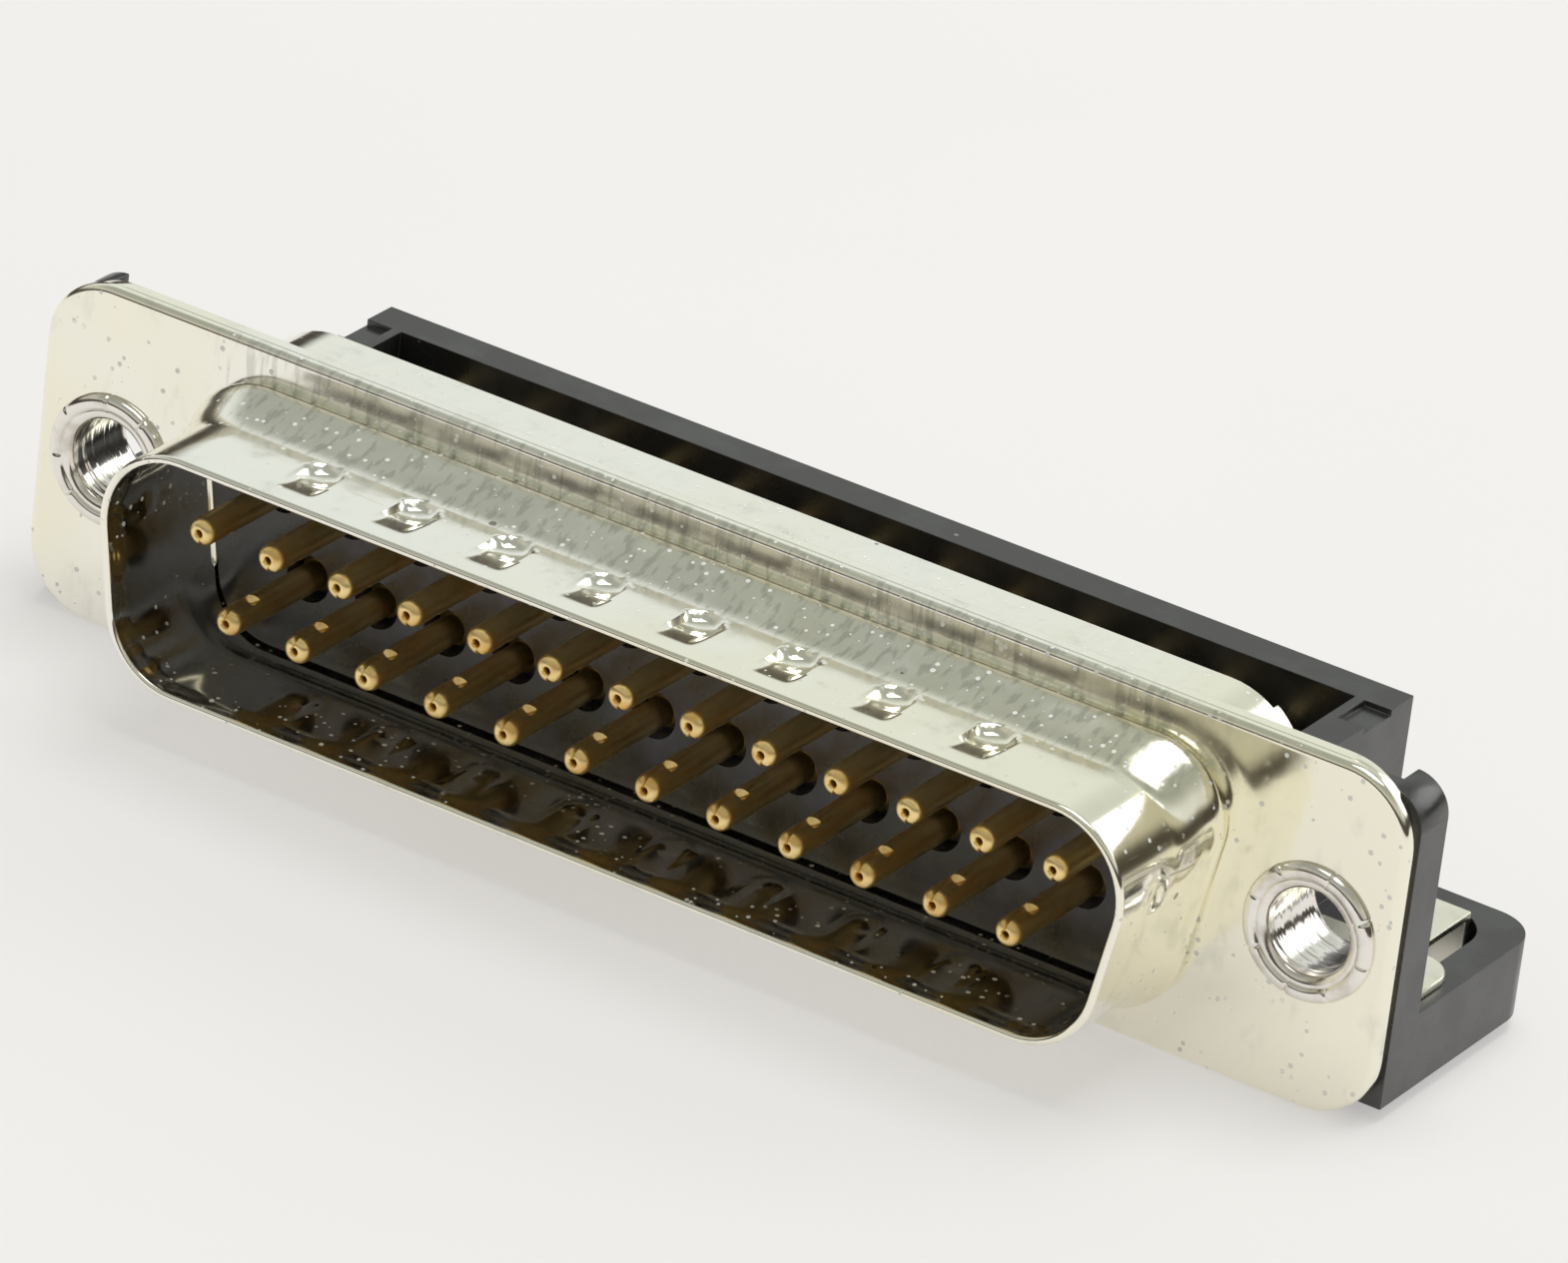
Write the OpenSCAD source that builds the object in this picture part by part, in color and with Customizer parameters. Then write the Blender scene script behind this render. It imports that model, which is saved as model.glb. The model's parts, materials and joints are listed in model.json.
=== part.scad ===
// Right-angle D-sub plug connector for a circuit board: two rows of solid
// pins in a stamped metal shell, on a black bracket that sits on the board.
// The origin is midway between the two flange holes, on the flange's front
// face. +X runs along the connector, -Y points out of the mating face and
// +Z points away from the board.

/* [Contacts] */
// Number of positions in the upper row; the lower row has one less
top_positions = 13; // [5:1:19]
// Distance between neighbouring pins of a row
pitch = 2.77; // [2.6:0.01:3.2]
// Distance between the two rows
row_gap = 2.84; // [2.6:0.01:3.0]
// Diameter of a mating pin
pin_d = 1.0; // [0.8:0.05:1.1]
// Reach of the pins in front of the flange
pin_reach = 4.8; // [4.0:0.1:5.4]
// Side of the square solder tail
tail_side = 0.6; // [0.4:0.05:0.7]
// Length of the solder tails below the board seat
tail_drop = 3.0; // [2.0:0.1:4.0]
// Distance from the flange to the first row of solder tails
tail_offset = 6.75; // [6.3:0.05:7.5]

/* [Plug shell] */
// Reach of the shell in front of the flange
shell_reach = 5.9; // [5.5:0.1:7.0]
// Inside height of the shell
shell_in_h = 7.9; // [7.5:0.1:9.0]
// Gap from the last pin's axis to the shell's widest inside point
shell_end_gap = 2.83; // [2.6:0.01:3.2]
// Inside corner radius of the shell
shell_in_r = 2.5; // [2.0:0.1:2.8]
// Slant of the shell's ends
slant = 10; // [6:1:12]
// Thickness of the shell's sheet in the wall
shell_sheet = 0.42; // [0.3:0.01:0.5]
// How far the shell's foot swells above the wall
swell_h = 0.56; // [0.4:0.02:0.7]
// How far the shell's foot swells beyond the ends of the wall
swell_w = 0.2; // [0.1:0.02:0.4]
// Length of the swollen foot
swell_len = 2.5; // [2.0:0.1:2.6]
// Number of grounding dimples on each long side
dimples = 8; // [2:1:8]
// Distance between grounding dimples
dimple_pitch = 3.72; // [2.6:0.02:3.8]
// Depth of a grounding dimple
dimple_depth = 0.3; // [0.15:0.01:0.35]
// Distance from the shell's lip to the dimples
dimple_gap = 0.9; // [0.8:0.05:1.0]
// Length of a grounding dimple
dimple_len = 2.5; // [1.8:0.1:2.6]

/* [Flanges] */
// Thickness of each flange
flange_sheet = 0.45; // [0.4:0.01:0.6]
// Height of the front flange
flange_h = 12.4; // [12.2:0.1:14]
// Corner radius of the flanges
flange_r = 2.5; // [1.5:0.1:3.0]
// Distance from the shell's widest inside point to the flange hole
hole_margin = 4.07; // [4.0:0.01:4.6]
// Distance from a flange hole to the end of the flange
flange_margin = 3.03; // [2.9:0.01:3.6]
// Rounding of the front flange's outer edge
flange_round = 0.25; // [0.1:0.05:0.3]
// How far the rear flange's ends stay inside the front one's
flange_setback = 0.3; // [0.05:0.05:0.4]
// How far the rear shell stands above the swollen foot
rear_step_h = 0.54; // [0.48:0.01:0.56]
// How far the rear shell stands beyond the ends of the swollen foot
rear_step_w = 0.33; // [0.32:0.01:0.45]
// Distance from the flange's front to the rear shell's back edge
rear_shell_end = 3.9; // [3.4:0.05:4.0]

/* [Insulators] */
// Depth of the recess round each pin
recess_depth = 1.0; // [0.6:0.1:1.2]
// Diameter of the recess round each pin
recess_d = 1.7; // [1.4:0.05:1.9]
// Thickness of the front insulator's rim
rim_t = 0.75; // [0.5:0.05:0.9]
// How far the rear insulator stands out of the rear shell
insulator_out = 0.5; // [0.3:0.05:0.8]

/* [Eyelets] */
// Bore diameter of an eyelet
eyelet_bore = 3.0; // [2.8:0.05:3.2]
// Wall of an eyelet's tube
eyelet_wall = 0.32; // [0.25:0.01:0.4]
// Outside diameter of an eyelet's rolled rims
eyelet_rim_d = 4.8; // [4.6:0.05:5.2]
// Height of an eyelet's rolled rims
eyelet_rim_h = 0.3; // [0.2:0.02:0.4]
// Depth of an eyelet's flared mouths
eyelet_mouth = 0.35; // [0.2:0.01:0.36]

/* [Bracket] */
// Distance from the connector's axis down to the board seat
seat_drop = 5.7; // [5.6:0.05:6.1]
// Height of the block's top above the connector's axis
block_top = 3.08; // [2.5:0.02:3.6]
// Thickness of the block's end walls
end_wall = 1.39; // [1.0:0.01:1.6]
// Thickness of the block's rear wall
rear_wall = 1.44; // [1.0:0.01:1.8]
// Gap from the last upper pin's axis to the block's end wall
channel_end_gap = 2.26; // [2.0:0.01:2.4]
// Thickness of the block's floor
floor_t = 1.6; // [1.2:0.1:2.4]
// Thickness of the ears behind the flanges
ear_t = 1.75; // [1.4:0.05:1.9]
// Height of the ears above the connector's axis
ear_top = 5.5; // [5.0:0.05:5.9]
// Height of the lower web beside each ear's raised corner
web_top = 4.97; // [4.4:0.01:4.98]
// Width of each ear's raised corner
ear_lobe_w = 1.3; // [1.1:0.05:2.0]
// Corner radius of the ears
ear_r = 1.3; // [0.6:0.05:1.3]
// Thickness of the feet
foot_t = 2.85; // [2.4:0.05:3.0]
// Distance from the flange's front to the back of the feet
foot_end = 10.75; // [10.2:0.05:11.2]
// Corner radius of the feet
foot_r = 1.6; // [0.8:0.1:2.0]
// Diameter of the board-lock hole in each foot
foot_hole_d = 3.36; // [3.2:0.02:3.6]
// Distance from the flange's front to the board-lock hole
foot_hole_y = 8.17; // [8.0:0.01:8.4]
// Length of foot left between the ear and the board-lock hole's slot
slot_gap = 2.9; // [2.4:0.05:3.2]
// Depth of the small pocket in the top of each end wall
pocket_depth = 0.22; // [0.1:0.02:0.4]
// Length of the small pocket in the top of each end wall
pocket_len = 1.75; // [1.0:0.05:2.2]

/* [Ground straps] */
// Thickness of the strap's sheet
strap_t = 0.3; // [0.2:0.01:0.35]
// Height of the strap's upper end above the axis
strap_top = 3.2; // [2.9:0.05:3.6]
// Gap from the flange's end to the strap's outer edge
strap_inset = 0.2; // [0.1:0.05:0.6]
// Corner radius of the strap
strap_r = 1.2; // [0.6:0.05:1.3]
// Width of the strap's tongue in the board-lock hole
tongue_w = 1.9; // [1.5:0.05:2.2]
// Length of the tongue below the board seat
tongue_drop = 2.6; // [1.5:0.1:3.4]

/* [Fits] */
// Clearance between moulded and stamped pieces
fit = 0.06; // [0.04:0.01:0.1]
// Clearance round a contact in the insulators
contact_fit = 0.05; // [0.03:0.01:0.08]
// Clearance between an eyelet and the plates it holds
eyelet_fit = 0.06; // [0.03:0.01:0.1]

/* [Hidden] */
$fn = 64;
cut = 0.5;                  // how far a cutter runs past the face it opens
slice_t = 0.01;             // thickness of a slice that a hull joins

row_half = (top_positions - 1) * pitch / 2;
shell_in_hw = row_half + shell_end_gap;
hole_x = shell_in_hw + hole_margin;
flange_hw = hole_x + flange_margin;
shell_in_hh = shell_in_h / 2;
tail_rows = [tail_offset, tail_offset + row_gap];
tail_tip_z = -seat_drop - tail_drop;

// An outline of the D family is [half width at the widest, half height, corner radius]
plug_in = [shell_in_hw, shell_in_hh, shell_in_r];
plug_out = grow(plug_in, shell_sheet);
foot_out = [plug_out[0] + swell_w, plug_out[1] + swell_h, shell_in_r + swell_w];
foot_in = grow(foot_out, -shell_sheet);
rear_out = [foot_out[0] + rear_step_w, foot_out[1] + rear_step_h, foot_out[2] + swell_w];
rear_in = grow(rear_out, -shell_sheet);

rear_flange_y = flange_sheet;
ear_y = 2 * flange_sheet;
ear_back = ear_y + ear_t;
rim_y = [rear_flange_y, rear_flange_y + rim_t];
insulator_back = rear_shell_end + insulator_out;
block_y = insulator_back + fit;
channel_hw = row_half + channel_end_gap;
block_hw = channel_hw + end_wall;
channel_back = tail_rows[1] + tail_side / 2 + contact_fit + fit;
block_back = channel_back + rear_wall;
floor_top = -seat_drop + floor_t;
foot_top = -seat_drop + foot_t;
bracket_hw = flange_hw - fit;

eyelet_r = eyelet_bore / 2;
eyelet_tube_r = eyelet_r + eyelet_wall;
plate_hole_r = eyelet_tube_r + eyelet_fit;
eyelet_back = ear_back + strap_t;

// Rolled contacts: barrel in the insulators, then the bent square tail
barrel_d = 1.2;             // diameter of a contact's body inside the insulators
barrel_front = 1.9;         // start of the body, behind the recess
tip_hole_d = 0.26;          // opening where the rolled tip closes
tip_hole_depth = 0.35;
seam_w = 0.08;              // open seam of the rolled pin
notch_back = 1.4;           // notch at the seam's end, behind the tip
notch_d = 0.34;
tail_bend_r = 0.6;          // radius of the tail's bend at its centre line
tail_start = insulator_back - 0.4;

function contact_name(i) = str("contact_", i < 10 ? "0" : "", i);
function grow(d, t) = [d[0] + t, d[1] + t, d[2] + t];

// Contacts count from the left, the upper row first
function in_top(i) = i <= top_positions;
function contact_x(i) = in_top(i)
    ? (i - 1) * pitch - row_half
    : (i - top_positions - 0.5) * pitch - row_half;
function contact_z(i) = (in_top(i) ? 1 : -1) * row_gap / 2;
function contact_tail_y(i) = tail_rows[in_top(i) ? 1 : 0];

// Corner centre of a D outline: side is 1 at the wide top and -1 at the bottom
function dee_corner(d, side) = [
    d[0] - d[2] - (1 - side) * (d[1] - d[2]) * tan(slant),
    side * (d[1] - d[2])
];

// ---------- shared shapes ----------

// Extrudes a profile drawn in X and Z from y0 back to y1
module along_y(y0, y1) {
    translate([0, y1, 0]) rotate([90, 0, 0]) linear_extrude(y1 - y0) children();
}

// Round shape about an axis along Y, from a profile drawn as radius and Y
module turned_y() {
    rotate([-90, 0, 0]) rotate_extrude() children();
}

// Puts copies at both ends of the connector
module both_ends() {
    children();
    mirror([1, 0, 0]) children();
}

// D outline with four true arcs and slanted ends, wide side up
module dee(d) {
    r = d[2];
    top = dee_corner(d, 1);
    low = dee_corner(d, -1);
    right = [
        [top[0], top[1] + r],
        top + r * [cos(slant), -sin(slant)],
        low + r * [cos(slant), -sin(slant)],
        [low[0], low[1] - r]
    ];
    polygon(concat(right, [for (i = [3:-1:0]) [-right[i][0], right[i][1]]]));
    for (c = [top, low], s = [-1, 1]) translate([s * c[0], c[1]]) circle(r);
}

module rounded_rect(w, h, r) {
    square([w, h - 2 * r], center = true);
    square([w - 2 * r, h], center = true);
    for (x = [-1, 1], z = [-1, 1])
        translate([x * (w / 2 - r), z * (h / 2 - r)]) circle(r);
}

// Thin slice of a D outline at one place along Y
module dee_slice(d, y) {
    along_y(y, y + slice_t) dee(d);
}

// Bores for the two eyelets
module eyelet_holes(y0, y1) {
    both_ends() translate([hole_x, 0, 0]) turned_y()
        translate([0, y0]) square([plate_hole_r, y1 - y0]);
}

// ---------- shells ----------

lip_r = shell_sheet * 0.45;             // rounding of the shell's front lip
hull_fn = 32;                           // facets of the rounded shapes that hulls join
dimple_r = 1.1;                         // radius of the dimpling punch
dimple_front = shell_reach - dimple_gap;
end_dimple_z = 2.0;                     // height of the dimple in each end

// Punch for one dimple, lying along Y on its own centre line: a steep nose
// and a long tail. grown is the sheet it pushes ahead of itself.
module dimple_punch(grown) {
    r = dimple_r + grown;
    nose = 0.25 * dimple_len;
    turned_y() {
        intersection() {
            translate([0, nose]) circle(r);
            translate([0, nose - r]) square([r, r]);
        }
        translate([0, nose]) square([r, dimple_len - 2 * nose - 0.3 * dimple_len]);
        intersection() {
            translate([0, 0.45 * dimple_len]) circle(r);
            translate([0, 0.45 * dimple_len]) square([r, r]);
        }
    }
}

// All punches, each sunk by the dimple's depth into the outside of the wall
module dimple_punches(grown) {
    lift = dimple_r - dimple_depth;
    y = -dimple_front;
    for (i = [0:dimples - 1], s = [-1, 1])
        translate([(i - (dimples - 1) / 2) * dimple_pitch, y, s * (plug_out[1] + lift)])
            dimple_punch(grown);
    both_ends()
        translate([plug_out[0] + lift, y, end_dimple_z]) dimple_punch(grown);
}

// Swelling of the foot at t, which runs from 0 in front to 1 at the flange:
// it rises in the first half and curls in a little at the flange
function swell_at(t) = t < 0.5 ? sin(180 * t) : 1 - 0.15 * pow(2 * t - 1, 3);
function foot_at(wall, foot, t) = wall + swell_at(t) * (foot - wall);

// Swollen foot between a wall's outline and the foot's own, back to y1
module swollen_foot(wall, foot, y1) {
    hull() {
        $fn = hull_fn;
        for (t = [0:0.125:1])
            dee_slice(foot_at(wall, foot, t), -swell_len + t * (swell_len - slice_t));
        if (y1 > 0) dee_slice(foot_at(wall, foot, 1), y1 - slice_t);
    }
}

module front_shell() {
    color("gainsboro") difference() {
        union() {
            // flange with its rounded front edge
            difference() {
                hull() for (a = [0, 30, 60, 90]) {
                    $fn = hull_fn;
                    inset = flange_round * (1 - sin(a));
                    y = flange_round * (1 - cos(a));
                    along_y(y, flange_sheet)
                        rounded_rect(2 * (flange_hw - inset), flange_h - 2 * inset, flange_r - inset);
                }
                eyelet_holes(-cut, flange_sheet + cut);
            }
            // wall with its rounded lip
            difference() {
                hull() for (a = [0, 45, 90]) {
                    $fn = hull_fn;
                    along_y(-shell_reach + lip_r * (1 - sin(a)), 0)
                        dee(grow(plug_out, -lip_r * (1 - cos(a))));
                }
                dimple_punches(0);
            }
            swollen_foot(plug_out, foot_out, 0);
        }
        // inside of the wall, with the sheet that the dimples push in
        difference() {
            along_y(-shell_reach - cut, flange_sheet + cut) dee(plug_in);
            dimple_punches(shell_sheet);
        }
        swollen_foot(plug_in, foot_in, flange_sheet + cut);
    }
}

tab_w = 1.1;                            // width of a staking tab on the rear shell
tab_reach = 0.3;                        // how far a tab stands behind the rear edge

module rear_shell() {
    color("silver") difference() {
        union() {
            difference() {
                along_y(rear_flange_y, ear_y)
                    rounded_rect(2 * (flange_hw - flange_setback), flange_h, flange_r);
                eyelet_holes(rear_flange_y - cut, ear_y + cut);
            }
            along_y(rear_flange_y, rear_shell_end) dee(rear_out);
            // staking tabs that hold the rear insulator at its four corners
            along_y(rear_shell_end - cut, rear_shell_end + tab_reach) intersection() {
                dee(rear_out);
                for (x = [-1, 1], z = [-1, 1]) {
                    corner = dee_corner(rear_out, z);
                    translate([x * corner[0], corner[1]]) rotate(z * x > 0 ? -45 * x : 45 * x)
                        translate([-tab_w / 2, z > 0 ? 0 : -rear_out[2]]) square([tab_w, rear_out[2]]);
                }
            }
        }
        along_y(rear_flange_y - cut, rear_shell_end + tab_reach + cut) dee(rear_in);
    }
}

// ---------- insulators ----------

boss_step = 0.3;                        // how far the rear insulator's boss stays inside the shell

module contact_bores(y0, y1, d) {
    for (i = [1:2 * top_positions - 1])
        translate([contact_x(i), 0, contact_z(i)]) turned_y()
            translate([0, y0]) square([d / 2, y1 - y0]);
}

module front_insulator() {
    color([0.1, 0.1, 0.1]) difference() {
        union() {
            along_y(0, rim_y[1]) dee(grow(foot_at(plug_in, foot_in, 1), -fit));
            along_y(rim_y[0], rim_y[1]) dee(grow(rear_in, -fit));
        }
        contact_bores(-cut, recess_depth, recess_d);
        contact_bores(recess_depth - cut, rim_y[1] + cut, pin_d + 2 * contact_fit);
    }
}

module rear_insulator() {
    color([0.12, 0.12, 0.12]) difference() {
        union() {
            along_y(rim_y[1], rear_shell_end) dee(grow(rear_in, -fit));
            along_y(rim_y[1], insulator_back) dee(grow(rear_in, -boss_step));
        }
        contact_bores(rim_y[1] - cut, insulator_back + cut, barrel_d + 2 * contact_fit);
    }
}

// ---------- contacts ----------

// Mating pin, body and bent tail. The seam of an upper pin faces down.
module contact(i) {
    tail_y = contact_tail_y(i);
    seam = in_top(i) ? -1 : 1;
    tip_r = pin_d / 2;
    color("goldenrod") translate([contact_x(i), 0, contact_z(i)]) {
        difference() {
            turned_y() {
                translate([0, -pin_reach + tip_r]) intersection() {
                    circle(tip_r);
                    translate([0, -tip_r]) square([tip_r, 2 * tip_r]);
                }
                translate([0, -pin_reach + tip_r]) square([tip_r, barrel_front + pin_reach - tip_r]);
                translate([0, barrel_front]) square([barrel_d / 2, tail_start - barrel_front]);
            }
            turned_y() translate([0, -pin_reach - cut]) square([tip_hole_d / 2, cut + tip_hole_depth]);
            translate([-seam_w / 2, -pin_reach - cut, seam > 0 ? 0 : -pin_d])
                cube([seam_w, cut + notch_back, pin_d]);
            translate([0, -pin_reach + notch_back, seam * pin_d / 2]) rotate([0, 45, 0])
                cube([notch_d, notch_d, notch_d], center = true);
        }
        translate([-tail_side / 2, tail_start - slice_t, -tail_side / 2])
            cube([tail_side, tail_y - tail_bend_r - tail_start + slice_t, tail_side]);
        translate([0, tail_y - tail_bend_r, -tail_bend_r]) rotate([0, -90, 0])
            rotate_extrude(angle = 90)
                translate([tail_bend_r, 0]) square(tail_side, center = true);
        drop = contact_z(i) - tail_bend_r - tail_tip_z;
        translate([-tail_side / 2, tail_y - tail_side / 2, -tail_bend_r - drop])
            cube([tail_side, tail_side, drop]);
    }
}

// ---------- eyelets ----------

mouth_flare = 0.36;                     // how far a mouth opens beyond the bore

module eyelet() {
    rim_r = eyelet_rim_d / 2;
    h = eyelet_rim_h;
    color([0.8, 0.78, 0.76]) turned_y() difference() {
        union() {
            translate([eyelet_r, -h]) square([eyelet_wall, eyelet_back + 2 * h]);
            for (y = [-h, eyelet_back]) translate([eyelet_r, y]) square([rim_r - eyelet_r - h / 2, h]);
            for (y = [-h / 2, eyelet_back + h / 2]) translate([rim_r - h / 2, y]) circle(h / 2);
        }
        // flared mouths
        for (s = [-1, 1]) translate([0, s < 0 ? -h : eyelet_back + h])
            polygon([[0, s * cut], [eyelet_r + mouth_flare, s * cut], [eyelet_r + mouth_flare, 0],
                     [eyelet_r + mouth_flare / 3, -s * eyelet_mouth / 2],
                     [eyelet_r, -s * eyelet_mouth], [0, -s * eyelet_mouth]]);
    }
}

// ---------- bracket ----------

ear_in = channel_hw;                    // inner edge of the ears and feet

// Ear behind one flange: a raised outer corner, then a lower web
module ear_profile() {
    square_top = [ear_in, -seat_drop];
    difference() {
        union() {
            translate(square_top) square([bracket_hw - ear_in, seat_drop + web_top]);
            translate([bracket_hw - ear_lobe_w, 0]) square([ear_lobe_w, ear_top]);
        }
        // rounded outer corner
        translate([bracket_hw - ear_r, ear_top - ear_r]) difference() {
            square(ear_r + cut);
            circle(ear_r);
        }
    }
}

// Foot on the board beside the block
module foot_profile() {
    difference() {
        translate([ear_in, ear_y]) square([bracket_hw - ear_in, foot_end - ear_y]);
        translate([bracket_hw - foot_r, foot_end - foot_r]) difference() {
            square(foot_r + cut);
            circle(foot_r);
        }
    }
}

module foot_hole() {
    translate([hole_x, foot_hole_y]) circle(d = foot_hole_d);
    translate([hole_x - foot_hole_d / 2, slot_front]) square([foot_hole_d, foot_hole_y - slot_front]);
}

slot_front = ear_back + slot_gap;
pocket_w = 1.02;                        // width of the pocket in an end wall
tail_slot = tail_side + 2 * contact_fit;

module bracket() {
    color([0.08, 0.08, 0.08]) difference() {
        union() {
            both_ends() {
                along_y(ear_y, ear_back) ear_profile();
                translate([0, 0, -seat_drop]) linear_extrude(foot_t) foot_profile();
            }
            // block with its open channel
            translate([-block_hw, block_y, -seat_drop])
                cube([2 * block_hw, block_back - block_y, seat_drop + block_top]);
        }
        translate([-channel_hw, block_y - cut, floor_top])
            cube([2 * channel_hw, channel_back - block_y + cut, block_top - floor_top + cut]);
        // seat for the rear shell and insulator
        along_y(ear_y - cut, rear_shell_end + fit) dee(grow(rear_out, fit));
        along_y(rear_shell_end - cut, block_y) dee(rear_out);
        eyelet_holes(ear_y - cut, ear_back + cut);
        both_ends() {
            translate([0, 0, -seat_drop - cut]) linear_extrude(foot_t + 2 * cut) foot_hole();
            translate([block_hw - pocket_w, channel_back - pocket_len, block_top - pocket_depth])
                cube([pocket_w + cut, pocket_len, pocket_depth + cut]);
        }
        // holes for the solder tails
        for (i = [1:2 * top_positions - 1])
            translate([contact_x(i), contact_tail_y(i), floor_top - floor_t / 2])
                cube([tail_slot, tail_slot, floor_t + 2 * cut], center = true);
    }
}

// ---------- ground straps ----------

strap_in = hole_x - eyelet_rim_d / 2 - strap_inset;
strap_lap_end = slot_front + 0.3;       // back edge of the wide lap on the foot

// Upright leg riveted behind the ear, seen from the front
module strap_leg_profile() {
    outer = bracket_hw - strap_inset;
    difference() {
        translate([strap_in, foot_top]) square([outer - strap_in, strap_top - foot_top]);
        translate([outer - strap_r, strap_top - strap_r]) difference() {
            square(strap_r + cut);
            circle(strap_r);
        }
    }
}

// Lap on the foot, seen from above
module strap_lap_profile() {
    outer = bracket_hw - 2 * strap_inset;
    difference() {
        translate([strap_in, ear_back]) square([outer - strap_in, strap_lap_end - ear_back]);
        translate([outer - strap_r, strap_lap_end - strap_r]) difference() {
            square(strap_r + cut);
            circle(strap_r);
        }
    }
}

module ground_strap() {
    tongue_x = hole_x - tongue_w / 2;
    leg_y = foot_hole_y + foot_hole_d / 2 - 0.35 - strap_t;
    color("lightgray") {
        difference() {
            along_y(ear_back, ear_back + strap_t) strap_leg_profile();
            eyelet_holes(ear_back - cut, ear_back + strap_t + cut);
        }
        translate([0, 0, foot_top]) linear_extrude(strap_t) strap_lap_profile();
        translate([tongue_x, strap_lap_end - cut, foot_top])
            cube([tongue_w, leg_y + strap_t - strap_lap_end + cut, strap_t]);
        translate([tongue_x, leg_y, -seat_drop - tongue_drop])
            cube([tongue_w, strap_t, foot_top + strap_t + seat_drop + tongue_drop]);
    }
}

// ---------- nodes ----------

front_shell();
rear_shell();
front_insulator();
rear_insulator();
bracket();
translate([-hole_x, 0, 0]) eyelet();  // eyelet_left
translate([hole_x, 0, 0]) eyelet();  // eyelet_right
mirror([1, 0, 0]) ground_strap();  // ground_strap_left
ground_strap();  // ground_strap_right
for (i = [1:2 * top_positions - 1])
    contact(i);
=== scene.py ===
"""Finishes, fine pieces and studio for a right-angle D-sub plug connector."""

import json
import logging
import math
from dataclasses import dataclass, field
from enum import Enum

import bmesh
import bpy
from mathutils import Matrix, Vector

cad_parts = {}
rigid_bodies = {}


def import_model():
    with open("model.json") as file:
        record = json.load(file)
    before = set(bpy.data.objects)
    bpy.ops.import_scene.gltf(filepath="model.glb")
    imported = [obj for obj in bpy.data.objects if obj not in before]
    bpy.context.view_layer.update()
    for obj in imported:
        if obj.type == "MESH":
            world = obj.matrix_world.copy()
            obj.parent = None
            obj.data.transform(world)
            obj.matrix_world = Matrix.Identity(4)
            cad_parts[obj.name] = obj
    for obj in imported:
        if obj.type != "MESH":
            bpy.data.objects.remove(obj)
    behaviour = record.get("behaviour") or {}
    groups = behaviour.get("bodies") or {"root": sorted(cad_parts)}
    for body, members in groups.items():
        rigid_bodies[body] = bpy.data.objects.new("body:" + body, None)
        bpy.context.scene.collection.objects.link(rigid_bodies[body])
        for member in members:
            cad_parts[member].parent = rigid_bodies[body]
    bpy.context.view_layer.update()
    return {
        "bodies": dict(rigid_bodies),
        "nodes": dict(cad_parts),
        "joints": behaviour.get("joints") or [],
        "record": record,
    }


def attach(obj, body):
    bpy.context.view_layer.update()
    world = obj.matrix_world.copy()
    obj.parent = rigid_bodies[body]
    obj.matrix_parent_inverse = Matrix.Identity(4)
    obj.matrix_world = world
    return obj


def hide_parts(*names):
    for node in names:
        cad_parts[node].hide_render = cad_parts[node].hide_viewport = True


MM = 0.001
LOG = logging.getLogger("connector")

Point = tuple[float, float, float]
Outline = list[tuple[float, float]]
Arc = tuple[tuple[float, float], float, float]


class Slot(Enum):
    """Material slots of the record."""

    SHELL = "shell_plate"
    EYELET = "eyelet_plate"
    STRAP = "strap_plate"
    GOLD = "gold"
    INSULATOR = "insulator_plastic"
    BRACKET = "bracket_plastic"


# ---------------------------------------------------------------- mesh work


def clear_selection() -> None:
    """Deselects every object and leaves none active."""
    for other in bpy.context.view_layer.objects:
        other.select_set(False)
    bpy.context.view_layer.objects.active = None


def pick(piece: bpy.types.Object) -> None:
    """Makes one object the only selected and active one."""
    clear_selection()
    piece.select_set(True)
    bpy.context.view_layer.objects.active = piece


def apply_modifier(piece: bpy.types.Object, kind: str, **settings: object) -> None:
    """Adds a modifier, sets it and applies it.

    Args:
        piece: Object that gets the modifier.
        kind: Blender's name for the kind of modifier.
        settings: Values for the modifier's own properties.
    """
    pick(piece)
    modifier = piece.modifiers.new(kind.lower(), kind)
    for name, value in settings.items():
        setattr(modifier, name, value)
    bpy.ops.object.modifier_apply(modifier=modifier.name)


def smooth(piece: bpy.types.Object, degrees: float = 35.0) -> None:
    """Shades smooth, with creases where faces meet at more than an angle."""
    pick(piece)
    bpy.ops.object.shade_smooth_by_angle(angle=math.radians(degrees))


def skin_rings(name: str, rings: list[list[Point]]) -> bpy.types.Object:
    """Draws a closed skin through rings of points, extruding one from the next.

    Args:
        name: Name of the new piece.
        rings: Rings with the same number of points each, in millimetres. The
            last ring repeats the first one where the skin closes on itself.

    Returns:
        The new piece, with its normals pointing outwards.
    """
    clear_selection()
    count = len(rings[0])
    bpy.ops.mesh.primitive_circle_add(vertices=count, radius=MM)
    piece = bpy.context.object
    piece.name = piece.data.name = name
    place = piece.data.attributes.new("place", "INT", "POINT")
    place.data.foreach_set("value", list(range(count)))
    bpy.ops.object.mode_set(mode="EDIT")
    bpy.ops.mesh.select_all(action="SELECT")
    for step, ring in enumerate(rings):
        if step:
            bpy.ops.mesh.extrude_edges_move()
        mesh = bmesh.from_edit_mesh(piece.data)
        layer = mesh.verts.layers.int["place"]
        for vert in mesh.verts:
            if vert.select:
                vert.co = Vector(ring[vert[layer]]) * MM
        bmesh.update_edit_mesh(piece.data)
    bpy.ops.mesh.select_all(action="SELECT")
    bpy.ops.mesh.remove_doubles(threshold=0.0005 * MM)
    bpy.ops.mesh.normals_make_consistent(inside=False)
    bpy.ops.object.mode_set(mode="OBJECT")
    piece.data.attributes.remove(piece.data.attributes["place"])
    return piece


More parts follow.
